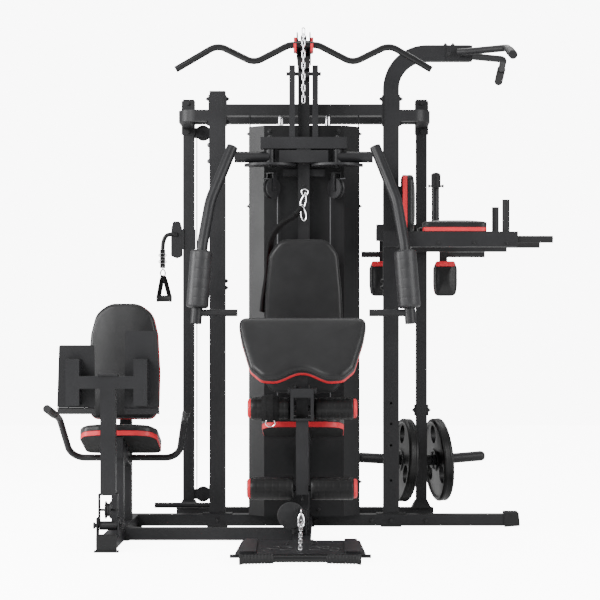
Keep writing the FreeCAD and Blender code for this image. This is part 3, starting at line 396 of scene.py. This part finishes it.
def cushion(name, node_name, body, outline, thick, across, along, corner=0.03, centre=None, crown=0.009,
            edge=0.018, strip=(0.003, 0.019), flare=0.0):
    """An upholstered pad: across and along are the outline's axes, and it faces across x along.

    The cover rolls over the foam to a red board edge, and black backing closes the underside. Without a
    centre, the pad sits in the middle of its CAD node. crown is the bulge of the face, edge the radius of its
    rim, strip the span of the red edge above the underside, and flare how far the red edge stands out.
    """
    low, high = box_of(node_name)
    normal = across.cross(along).normalized()
    points = resample(rounded(outline, corner), 0.01)
    if centre is None:
        centre = (low + high) / 2
        mid = middle(points)
        points = [p - mid for p in points]
    count = len(points)
    area = sum(points[i - 1].x * points[i].y - points[i].x * points[i - 1].y for i in range(count))
    way = 1 if area > 0 else -1
    inward = []
    for i in range(count):
        tangent = (points[(i + 1) % count] - points[i - 1]).normalized()
        inward.append(Vector((-tangent.y, tangent.x)) * way)

    def level(distance, height, shrink=1.0):
        """The outline moved inward by a distance, at a height above the middle of the pad."""
        return [centre + across * q.x + along * q.y + normal * height
                for q in ((p + inward[i] * distance) * shrink for i, p in enumerate(points))]

    half = thick / 2
    top = half - crown
    strip_low = -half + strip[0]
    seam = -half + strip[1]
    inset = 0.0005
    rim_steps, face_steps = 7, 9
    rings = [level(0.006, seam + 0.001), level(0.0015, seam + 0.002)]
    for k in range(rim_steps + 1):
        turn = math.pi / 2 * k / rim_steps
        rings.append(level(inset + edge * (1 - math.cos(turn)), top - edge + edge * math.sin(turn)))
    for k in range(1, face_steps + 1):
        shrink = 1 - k / (face_steps + 0.6)
        rings.append(level(inset + edge, top + crown * (1 - shrink ** 2.6), shrink))
    bm = bmesh.new()
    loft(bm, rings)
    skin = add(name + "_cushion", bm, MATERIALS["upholstery"], body, crease=60)

    out = 0.001 - flare
    bm = bmesh.new()
    loft(bm, [level(0.008, strip_low), level(out + 0.0015, strip_low), level(out, strip_low + 0.002),
              level(out, seam - 0.001), level(out + 0.002, seam + 0.0015), level(0.008, seam + 0.0015)])
    add(name + "_red_edge", bm, MATERIALS["red_coating"], body)

    bm = bmesh.new()
    loft(bm, [level(0.012, -half), level(0.007, -half), level(0.003, -half + strip[0] * 0.7),
              level(0.006, strip_low + 0.001)])
    add(name + "_backing", bm, BACKING, body)

    bm = bmesh.new()
    ring_tube(bm, level(edge * 0.16, top - edge * 0.42), 0.0021, normal)
    add(name + "_piping", bm, MATERIALS["upholstery"], body)
    return skin


def tilted(degrees):
    """The direction along a pad that runs towards the front and rises by an angle."""
    turn = math.radians(degrees)
    return Vector((0, -math.cos(turn), math.sin(turn)))


def leaning(degrees):
    """The direction up a pad that leans back from flat by an angle."""
    turn = math.radians(degrees)
    return Vector((0, math.cos(turn), math.sin(turn)))


def seat():
    """The seat pad, wide at the back and narrower at the front."""
    outline = mirrored([(0.172, 0), (0.172, 0.28), (0.15, 0.345), (0.09, 0.365)])
    skin = cushion("seat", "seat_pad", "frame", outline, 0.062, -X, tilted(9.8), corner=0.05,
                   strip=(0.002, 0.023))
    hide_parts("seat_pad")


def backrest():
    """The tall back pad, with a rounded top."""
    outline = mirrored([(0.16, 0), (0.172, 0.2), (0.165, 0.42), (0.148, 0.6), (0.1, 0.662)])
    skin = cushion("backrest", "backrest_pad", "frame", outline, 0.066, X, Z, corner=0.07, flare=0.0005,
                   crown=0.007)
    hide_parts("backrest_pad")


def preacher():
    """The arm pad, whose low edge is a wave round the notch for the post."""
    thick = 0.054
    up = leaning(56.4)
    wave = []
    for k in range(10):
        x = 0.01 + 0.012 * k
        wave.append((x, -0.129 + 0.021 * math.cos(math.pi * x / 0.118)))
    outline = mirrored(wave + [(0.165, -0.146), (0.212, -0.1), (0.25, 0.04), (0.268, 0.15)])
    middle_of_face = Vector((0, -0.735, 0.806))
    skin = cushion("preacher", "preacher_pad", "preacher", outline, thick, X, up, corner=0.04,
                   centre=middle_of_face - X.cross(up) * (thick / 2), crown=0.003, edge=0.026)
    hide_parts("preacher_pad")


def leg_press_pads():
    """The seat and the back pad of the leg press."""
    outline = mirrored([(0.162, 0), (0.162, 0.25), (0.14, 0.31), (0.08, 0.33)])
    skin = cushion("leg_press_seat", "leg_press_seat_pad", "frame", outline, 0.06, -X, tilted(16.7),
                   corner=0.05, strip=(0.001, 0.02))
    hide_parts("leg_press_seat_pad")
    outline = mirrored([(0.13, 0), (0.15, 0.05), (0.152, 0.2), (0.142, 0.36), (0.12, 0.45), (0.06, 0.492)])
    skin = cushion("leg_press_back", "leg_press_back_pad", "frame", outline, 0.062, X, leaning(83),
                   corner=0.08, flare=0.003)
    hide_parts("leg_press_back_pad")


def dip_pads():
    """The two arm pads and the back pad of the dip stand."""
    low, high = box_of("dip_pads")
    arm_half, arm_length, arm_thick = 0.046, 0.277, 0.05
    back_half_height, back_thick = 0.1285, 0.06
    arm = mirrored([(arm_half, -arm_length / 2), (arm_half, arm_length / 2)])
    made = []
    for side, name in ((-1, "dip_pad_front"), (1, "dip_pad_rear")):
        centre = Vector((0.6515, side * (high.y - arm_half), low.z + arm_thick / 2))
        made.append(cushion(name, "dip_pads", "frame", arm, arm_thick, Y, -X, corner=0.03, centre=centre,
                            strip=(0.001, 0.017), crown=0.006, edge=0.014))
    back = mirrored([(0.122, -back_half_height), (0.11, back_half_height)])
    centre = Vector((low.x + back_thick / 2, 0, high.z - back_half_height))
    made.append(cushion("dip_back", "dip_pads", "frame", back, back_thick, Y, Z, corner=0.04,
                        strip=(0.001, 0.02), centre=centre))
    for skin in made:
        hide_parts("dip_pads")


SQUAT_PAD_HALF = 0.057


def squat_pads():
    """The two shoulder pads of the squat lever."""
    low, high = box_of("squat_pads")
    mid = (low + high) / 2
    face = mirrored([(0.05, -0.082), (SQUAT_PAD_HALF, -0.03), (SQUAT_PAD_HALF, 0.05), (0.045, 0.082)])
    for name, x in (("squat_pad_left", low.x + SQUAT_PAD_HALF), ("squat_pad_right", high.x - SQUAT_PAD_HALF)):
        skin = cushion(name, "squat_pads", "squat", face, 0.06, X, Z, corner=0.03, strip=(0.001, 0.022),
                       centre=Vector((x, mid.y, mid.z)))
        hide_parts("squat_pads")


# ---- foam rollers ----

def roller(name, body, start, axis, length, radius, material, outer_cap=True):
    """A foam sleeve with soft ends and stitched rings; a red plug closes the free end."""
    soft, stitch, dent = 0.011, 0.006, 0.0007
    core = radius * 0.5
    sections = 6
    steps = quarter(5)
    soft_end = [(soft * (1 - math.cos(t)), radius - soft + soft * math.sin(t)) for t in steps]
    profile = [(0.0, core), (0.0, radius - soft)] + soft_end
    for k in range(1, sections):
        at = length * k / sections
        profile += [(at - stitch, radius), (at - stitch / 2, radius), (at, radius - dent),
                    (at + stitch / 2, radius), (at + stitch, radius)]
    profile += [(length - far, reach) for far, reach in reversed(soft_end)]
    profile += [(length, radius - soft), (length, core)]
    bm = bmesh.new()
    lathe(bm, profile, start, axis)
    skin = add(name, bm, material, body, crease=50)
    if outer_cap:
        rim = radius * 0.86
        face = length + 0.004
        high, bend = 0.009, 0.012
        dome = [(face + high * math.sin(t), rim - bend + bend * math.cos(t)) for t in steps]
        bm = bmesh.new()
        lathe(bm, [(length - 0.002, rim), (face, rim), *dome, (face + 0.0092, rim * 0.3)], start, axis)
        add(name + "_red_plug", bm, MATERIALS["red_coating"], body)
    return skin


def rollers():
    """The four leg rollers and the padded roller of each fly arm."""
    outer_end = 0.21
    for node, body, inner_end in (("upper_foam_rollers", "upper_rollers", 0.048),
                                  ("lower_foam_rollers", "lower_rollers", 0.034)):
        low, high = box_of(node)
        radius = (high.z - low.z) / 2
        for side, hand in ((-1, "left"), (1, "right")):
            start = Vector((side * inner_end, (low.y + high.y) / 2, (low.z + high.z) / 2))
            skin = roller(f"{node}_{hand}", body, start, X * side, outer_end - inner_end, radius,
                          MATERIALS["foam"])
            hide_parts(node)
    for side, hand in ((-1, "left"), (1, "right")):
        top = Vector((side * 0.432, -0.345, 1.228))
        foot = Vector((side * 0.457, -0.37, 0.899))
        along = (foot - top).normalized()
        length, radius = 0.245, 0.048
        # the fly rollers take the lighter copy of the foam, whose colour is painted light for the light that
        # falls on them
        skin = roller(f"fly_roller_{hand}", f"fly_{hand}", top + along * 0.018, along, length, radius,
                      FOAM_PAINTED_LIT, outer_cap=False)
        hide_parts(f"arm_roller_{hand}")


# ---- straps, hooks and guards ----

def snap_hook(name, top, drop, body):
    """A steel spring hook that hangs from its eye at top."""
    half_wide, wire, eye_wire, eye_radius = 0.011, 0.0032, 0.0022, 0.009
    down = drop.normalized()
    half = drop.length / 2
    flat = X.cross(down)
    loop = [top + down * (half - half * math.cos(t))
            + X * (half_wide * math.sin(t) * (1 - 0.25 * math.cos(t))) for t in turns(28)]
    bm = bmesh.new()
    ring_tube(bm, loop, wire, flat.normalized(), 8)
    ring_tube(bm, circle(top - down * 0.008, down, flat, eye_radius, 18), eye_wire, X, 8)
    return add(name, bm, MATERIALS["chrome_steel"], body)


def ab_strap():
    """A strap that hangs beside the backrest from two snap hooks on a ring."""
    front = box_of("backrest_pad")[0].y
    for name, top, drop in (("strap_hook_upper", (0.004, front + 0.07, 1.455), (-0.012, 0, -0.055)),
                            ("strap_hook_lower", (-0.008, front + 0.065, 1.405), (0.01, -0.004, -0.06))):
        snap_hook(name, Vector(top), Vector(drop), "frame")
    route = smooth_path([(-0.006, front + 0.062, 1.40), (-0.045, front + 0.06, 1.362),
                         (-0.1, front + 0.06, 1.325), (-0.138, front + 0.062, 1.27),
                         (-0.15, front + 0.07, 1.2), (-0.158, front + 0.085, 1.1),
                         (-0.17, front + 0.09, 1.02), (-0.178, front + 0.085, 0.95)])
    bm = bmesh.new()
    wide, long, thick = 0.045, 0.62, 0.012
    band(bm, route, Vector((0.45, 0.9, 0)), wide, thick)
    strap = add("ab_strap", bm, WEBBING, "frame", crease=50)
    bm = bmesh.new()
    ring_tube(bm, circle(Vector((0.004, front + 0.07, 1.468)), X, Z, 0.014, 20), 0.003, Y, 8)
    add("strap_ring", bm, MATERIALS["chrome_steel"], "frame")


def column_handle():
    """The single hand strap that hangs from the column carriage."""
    low, high = box_of("column_carriage")
    x, y, z = low.x, (low.y + high.y) / 2 - 0.024, low.z + 0.088
    hang_x = x - 0.038
    bm = bmesh.new()
    arm = smooth_path([(x + 0.03, y, z + 0.018), (x + 0.008, y, z + 0.022), (x - 0.02, y, z + 0.015),
                       (x - 0.034, y, z - 0.012), (hang_x, y, z - 0.05)], 8)
    tube(bm, arm, 0.0095, 14)
    add("handle_arm", bm, MATERIALS["black_rubber"], "carriage")

    strap_wide, strap_long = 0.024, 0.084
    bm = bmesh.new()
    band(bm, [Vector((hang_x, y, z - 0.05 - strap_long * k / 7)) for k in range(8)], X, strap_wide, 0.004)
    drop = add("handle_strap", bm, WEBBING, "carriage")

    bm = bmesh.new()
    for at in (-0.075, -0.105):
        loop = [Vector((hang_x + 0.017 * math.cos(t), y - 0.004, z + at + 0.008 * math.sin(t)))
                for t in turns(24)]
        ring_tube(bm, loop, 0.002, Y, 8)
    add("handle_buckles", bm, MATERIALS["chrome_steel"], "carriage")
    snap_hook("handle_hook", Vector((x - 0.037, y, z - 0.14)), Vector((0, 0, -0.03)), "carriage")

    grip_z = z - 0.27
    bm = bmesh.new()
    for side in (-1, 1):
        route = [Vector((x - 0.036, y, z - 0.168)), Vector((x - 0.034 + side * 0.008, y, z - 0.19)),
                 Vector((x - 0.031 + side * 0.026, y, grip_z))]
        band(bm, route, Vector((0.8, 0.6, 0)), strap_wide, 0.0035)
    loops = add("handle_webbing", bm, WEBBING, "carriage")

    bore, grip, flange = 0.009, 0.0145, 0.0165
    bm = bmesh.new()
    lathe(bm, [(0, bore), (0, grip), (0.006, flange), (0.012, grip), (0.058, grip), (0.064, flange),
               (0.07, grip), (0.07, bore)], Vector((x - 0.066, y, grip_z - 0.004)), X)
    add("handle_grip", bm, MATERIALS["black_rubber"], "carriage")


def ankle_cuff():
    """A cuff stored on the upper left roller, with its belt and D-ring."""
    low, high = box_of("upper_foam_rollers")
    y, z = (low.y + high.y) / 2, (low.z + high.z) / 2
    radius = (high.z - low.z) / 2
    wide, belt_wide = 0.07, 0.025
    bm = bmesh.new()
    lathe(bm, [(0, radius + 0.001), (0, radius + 0.004), (0.003, radius + 0.0065),
               (wide / 2, radius + 0.0075), (wide - 0.003, radius + 0.0065), (wide, radius + 0.004),
               (wide, radius + 0.001)], Vector((-0.165, y, z)), X)
    cuff = add("ankle_cuff", bm, WEBBING, "upper_rollers", crease=40)
    bm = bmesh.new()
    lathe(bm, [(0, radius + 0.007), (0, radius + 0.01), (belt_wide, radius + 0.0105),
               (belt_wide, radius + 0.007)], Vector((-0.143, y, z)), X)
    belt = add("ankle_cuff_belt", bm, WEBBING, "upper_rollers", crease=40)
    bm = bmesh.new()
    loop = [Vector((-0.13 + 0.019 * math.cos(t), y - 0.02, z - radius - 0.012 - 0.016 * math.sin(t)))
            for t in turns(24)]
    ring_tube(bm, loop, 0.0022, Y, 8)
    add("ankle_cuff_ring", bm, MATERIALS["chrome_steel"], "upper_rollers")


def low_pulley_guard():
    """The round cover in front of the low pulley, on its bracket."""
    front, bore, radius, thick = -0.824, 0.004, 0.054, 0.006
    bm = bmesh.new()
    lathe(bm, [(0, bore), (0, radius - 0.002), (0.0015, radius), (thick - 0.0015, radius),
               (thick, radius - 0.002), (thick, bore)], Vector((-0.045, front, 0.128)), -Y, 48)
    block(bm, (-0.04, front, 0.054), (0.0, front + 0.008, 0.1))
    add("low_pulley_guard", bm, MATERIALS["black_plastic"], "frame")


# ---- bolts ----

def bolt(bm, at, out, radius, depth=0.006):
    """A washer, a hexagon head and the end of its thread, standing on a face at a point."""
    at, out = Vector(at), Vector(out)
    head = depth - 0.001
    thread = depth + 0.004
    lathe(bm, [(0, radius * 1.35), (0.0015, radius * 1.35), (0.0015, radius * 0.5)], at, out, 20)
    lathe(bm, [(0.001, radius), (head, radius), (depth, radius * 0.85), (depth, radius * 0.1)], at, out, 6)
    lathe(bm, [(head, radius * 0.5), (thread, radius * 0.5), (thread, radius * 0.05)], at, out, 12)


def fasteners():
    """The bolt heads on the frame, all in one piece; the five sizes are radii of the heads."""
    screw, small, medium, large, pivot = 0.006, 0.007, 0.008, 0.009, 0.01
    bm = bmesh.new()
    # outer sides of the dip arms
    for x in (0.58, 0.734, 0.875):
        for side in (-1, 1):
            bolt(bm, (x, side * DIP_ARM_SIDE, 1.247), (0, side, 0), small)
    # bracket plates of the pull-up bars, and the top of the upright between them
    for side in (-1, 1):
        bolt(bm, (0.64, side * 0.029, 2.092), (0, side, 0), pivot)
    for x in (0.627, 0.66):
        bolt(bm, (x, 0, 2.135), (0, 0, 1), medium, 0.008)
    # sides and foot of the shroud
    for z in (1.74, 1.42, 0.9, 0.2):
        for side in (-1, 1):
            bolt(bm, (side * SHROUD_SIDE, -0.03, z), (side, 0, 0), screw)
    for side in (1, -1):
        bolt(bm, (side * 0.066, -0.11, 0.085), (0, -1, 0), screw)
    # front of the lat tower
    for z in (1.6, 1.5, 1.44):
        bolt(bm, (0, TOWER_FRONT, z), (0, -1, 0), small)
    # feet of the columns, a plate on each side of the right column, and the top of the shroud
    plate_half_wide, plate_z, plate_half_high = 0.02, 0.503, 0.025
    shroud_front = box_of("shroud_left")[0].y
    for side in (-1, 1):
        bolt(bm, (side * COLUMN_X, COLUMN_Y + 0.025, 0.12), (0, 1, 0), small)
        inner, outer = COLUMN_X + side * 0.0255, COLUMN_X + side * 0.0325
        block(bm, (min(inner, outer), COLUMN_Y - plate_half_wide, plate_z - plate_half_high),
              (max(inner, outer), COLUMN_Y + plate_half_wide, plate_z + plate_half_high), 0.002)
        bolt(bm, (outer, COLUMN_Y, plate_z), (side, 0, 0), large)
        bolt(bm, (side * 0.15, shroud_front, 1.744), (0, -1, 0), large)
    # on both sides of the leg press's front post, 25 mm off it
    for x in (-0.815, -0.715):
        bolt(bm, (x, -0.555, 0.33), (0, -1, 0), screw)
    add("bolt_heads", bm, MATERIALS["black_bolts"], "frame")


# ---- low row ----

def chain_link(bm, centre, way, side):
    """One long link of bent wire: way is the direction of the chain and side lies across the link."""
    straight, bend = 0.011, 0.0056
    loop = []
    for t in turns(24):
        shift = straight if math.cos(t) >= 0 else -straight
        loop.append(centre + way * (shift + bend * math.cos(t)) + side * (bend * math.sin(t)))
    ring_tube(bm, loop, 0.0024, side.cross(way).normalized(), 8)


def row_handle():
    """The low row bar with ribbed grips and its plated chain."""
    bend = [(0.226, -1.408, 0.02), (0.15, -1.4035, 0.0212), (0.09, -1.4, 0.022)]
    route = [(-x, y, z) for x, y, z in bend] + [(0, -1.3995, 0.022)] + bend[::-1]
    bm = bmesh.new()
    tube(bm, smooth_path(route, 6), 0.013, 20)
    bar = add("row_bar_steel", bm, MATERIALS["bar_paint"], "row_bar_body")

    bore, crest, groove = 0.0125, 0.0178, 0.0162
    profile = [(0, bore), (0, 0.0185), (0.004, 0.02)]
    for k in range(9):
        at = 0.012 + k * 0.0125
        profile += [(at, crest), (at + 0.004, crest), (at + 0.006, groove), (at + 0.0085, groove)]
    profile += [(0.126, crest), (0.128, 0.0165), (0.128, bore)]
    bm = bmesh.new()
    for side in (-1, 1):
        lathe(bm, profile, Vector((side * 0.227, -1.4081, 0.02)), Vector((-side * 0.136, 0.008, 0.002)), 32)
    grips = add("row_bar_grips", bm, MATERIALS["black_rubber"], "row_bar_body", crease=30)

    way = Vector((0, -200, -85)).normalized()
    flat = (X, X.cross(way))
    pitch = 0.024
    bm = bmesh.new()
    for i in range(9):
        chain_link(bm, Vector((0, -1.178, 0.135)) + way * (pitch * i), way, flat[i % 2])
    links = add("row_chain", bm, MATERIALS["chrome_steel"], "row_bar_body")
    for piece in (bar, grips, links):
        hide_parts("row_bar")
    snap_hook("row_hook", Vector((0, -1.16, 0.168)), Vector((0, -0.012, -0.052)), "row_bar_body")


def foot_plate_details():
    """Raised rings and screws on the foot plate."""
    slope = math.radians(8)
    up = Vector((0, -math.sin(slope), math.cos(slope)))
    back = Vector((0, math.cos(slope), math.sin(slope)))
    centre = Vector((0, -1.245, 0.0445)) + up * 0.004
    bm = bmesh.new()
    for side in (-1, 1):
        for x, y, radius in ((0.055, -0.02, 0.024), (0.095, -0.01, 0.017), (0.13, -0.035, 0.02)):
            ring_tube(bm, circle(centre + X * (side * x) + back * y, X, back, radius, 32), 0.0022, up, 8)
    add("foot_plate_rings", bm, MATERIALS["frame_paint"], "frame")
    bm = bmesh.new()
    for side in (-1, 1):
        bolt(bm, centre + X * (side * 0.048) + back * 0.04, up, 0.008)
    add("foot_plate_screws", bm, MATERIALS["black_bolts"], "frame")


# ---- squat lever and weight discs ----

def squat_details():
    """The red top band of each shoulder pad, and the grip top and cross pin of the post."""
    low, high = box_of("squat_pads")
    band_half = 0.0465
    bm = bmesh.new()
    for x in (low.x + SQUAT_PAD_HALF, high.x - SQUAT_PAD_HALF):
        block(bm, (x - band_half, low.y - 0.0015, high.z - 0.024),
              (x + band_half, high.y + 0.0005, high.z + 0.0015), 0.009)
    add("squat_pad_bands", bm, MATERIALS["red_coating"], "squat")

    post = Vector((0.62, (low.y + high.y) / 2 + 0.009, box_of("squat_yoke")[1].z))
    bm = bmesh.new()
    lathe(bm, [(-0.066, 0.021), (-0.066, 0.0225), (-0.01, 0.0225), (-0.004, 0.0205), (0.001, 0.016),
               (0.004, 0.008), (0.0045, 0.001)], post, Z)
    add("squat_post_grip", bm, MATERIALS["black_rubber"], "squat")

    length, collar, head, shaft = 0.074, 0.008, 0.007, 0.0045
    bm = bmesh.new()
    lathe(bm, [(0, 0.002), (0, head), (collar, head), (collar, shaft), (length - collar, shaft),
               (length - collar, head), (length, head), (length, 0.002)],
          post + Vector((-length / 2, 0, -0.06)), X, 16)
    add("squat_post_pin", bm, MATERIALS["black_bolts"], "squat")


def disc_rims():
    """The raised rim and hub on both faces of each weight disc, and the rounded noses of the pegs."""
    sweep, rise = math.radians(12), math.radians(4)
    disc_at, peg_length = 0.082, 0.285
    nose = [(-0.001, 0.0231), (0.004, 0.0228), (0.01, 0.0205), (0.015, 0.0165), (0.0185, 0.011),
            (0.02, 0.005), (0.0203, 0.001)]
    for side, body in ((-1, "disc_left"), (1, "disc_right")):
        out = Vector((side * math.cos(sweep) * math.cos(rise), side * math.sin(sweep) * math.cos(rise),
                      math.sin(rise)))
        across = out.cross(Z).normalized()
        bm = bmesh.new()
        for radius, offset, thick in ((0.178, 0.0115, 0.013), (0.046, 0.015, 0.008)):
            for face in (-1, 1):
                centre = PEG_CENTRE + out * (disc_at + face * offset)
                ring_tube(bm, circle(centre, across, out.cross(across), radius, 96), thick, out, 20)
        add(body + "_rims", bm, MATERIALS["disc_iron"], body)
        bm = bmesh.new()
        lathe(bm, nose, PEG_CENTRE + out * peg_length, out, 32)
        add(body + "_peg_nose", bm, MATERIALS["frame_paint"], "frame")


# ---- stage, light and camera ----

def glow_when_seen(tree, seen, otherwise=0.0):
    """A strength with one value for what the camera sees directly and another for all other light."""
    sight = tree.nodes.new("ShaderNodeLightPath")
    level = tree.nodes.new("ShaderNodeMath")
    level.operation = "MULTIPLY_ADD"
    level.inputs[1].default_value = seen - otherwise
    level.inputs[2].default_value = otherwise
    tree.links.new(sight.outputs["Is Camera Ray"], level.inputs[0])
    return level.outputs["Value"]


def area_light(name, place, aim, size, power):
    light = bpy.data.lights.new(name, "AREA")
    light.shape = "RECTANGLE"
    light.size, light.size_y = size
    light.energy = power
    holder = bpy.data.objects.new(name, light)
    bpy.context.scene.collection.objects.link(holder)
    holder.location = place
    holder.rotation_euler = (Vector(aim) - Vector(place)).to_track_quat("-Z", "Y").to_euler()


def studio():
    """A pale floor under a white sky of the same brightness, with five soft lights."""
    floor_half, white = 9, 9.0
    bm = bmesh.new()
    corners = ((-1, -1), (1, -1), (1, 1), (-1, 1))
    bm.faces.new([bm.verts.new((x * floor_half, y * floor_half, 0)) for x, y in corners])
    mesh = bpy.data.meshes.new("backdrop")
    bm.to_mesh(mesh)
    bm.free()
    floor = bpy.data.objects.new("backdrop", mesh)
    bpy.context.scene.collection.objects.link(floor)
    material, shader = new_material("backdrop_paper", (1.0, 1.0, 1.0), 0.9)
    tree = material.node_tree
    shader.inputs["Emission Color"].default_value = (1, 1, 1, 1)
    tree.links.new(glow_when_seen(tree, white), shader.inputs["Emission Strength"])
    mesh.materials.append(material)

    area_light("key", (-3.2, -4.6, 3.6), (0, 0, 1.0), (2.2, 2.2), 340)
    area_light("left", (-4.6, -1.1, 1.7), (0, 0, 1.1), (1.6, 2.6), 260)
    area_light("fill", (4.2, -3.4, 2.6), (0, 0, 1.0), (2.5, 3), 230)
    area_light("top", (0, 0.2, 5.2), (0, 0, 0), (4, 4), 75)
    area_light("back", (0, 2.4, 4.4), (0, 0, 1.2), (4, 1.5), 90)
    world = bpy.data.worlds.new("studio")
    bpy.context.scene.world = world
    world.use_nodes = True
    sky = world.node_tree.nodes["Background"]
    sky.inputs["Color"].default_value = (1, 1, 1, 1)
    world.node_tree.links.new(glow_when_seen(world.node_tree, white, 0.55), sky.inputs["Strength"])


def camera():
    """A long lens straight in front; the shifts place the machine in the picture as in the photo."""
    lens = bpy.data.cameras.new("camera")
    lens.lens = 114.75
    lens.sensor_width = 36
    lens.shift_x = -0.042
    lens.shift_y = 0.05
    holder = bpy.data.objects.new("camera", lens)
    holder.location = (0.093, -8.5, 0.872)
    holder.rotation_euler = (math.pi / 2, 0, 0)
    bpy.context.scene.collection.objects.link(holder)
    bpy.context.scene.camera = holder


seat()
backrest()
preacher()
leg_press_pads()
dip_pads()
squat_pads()
rollers()
ab_strap()
column_handle()
ankle_cuff()
low_pulley_guard()
row_handle()
foot_plate_details()
squat_details()
disc_rims()
fasteners()
studio()
camera()
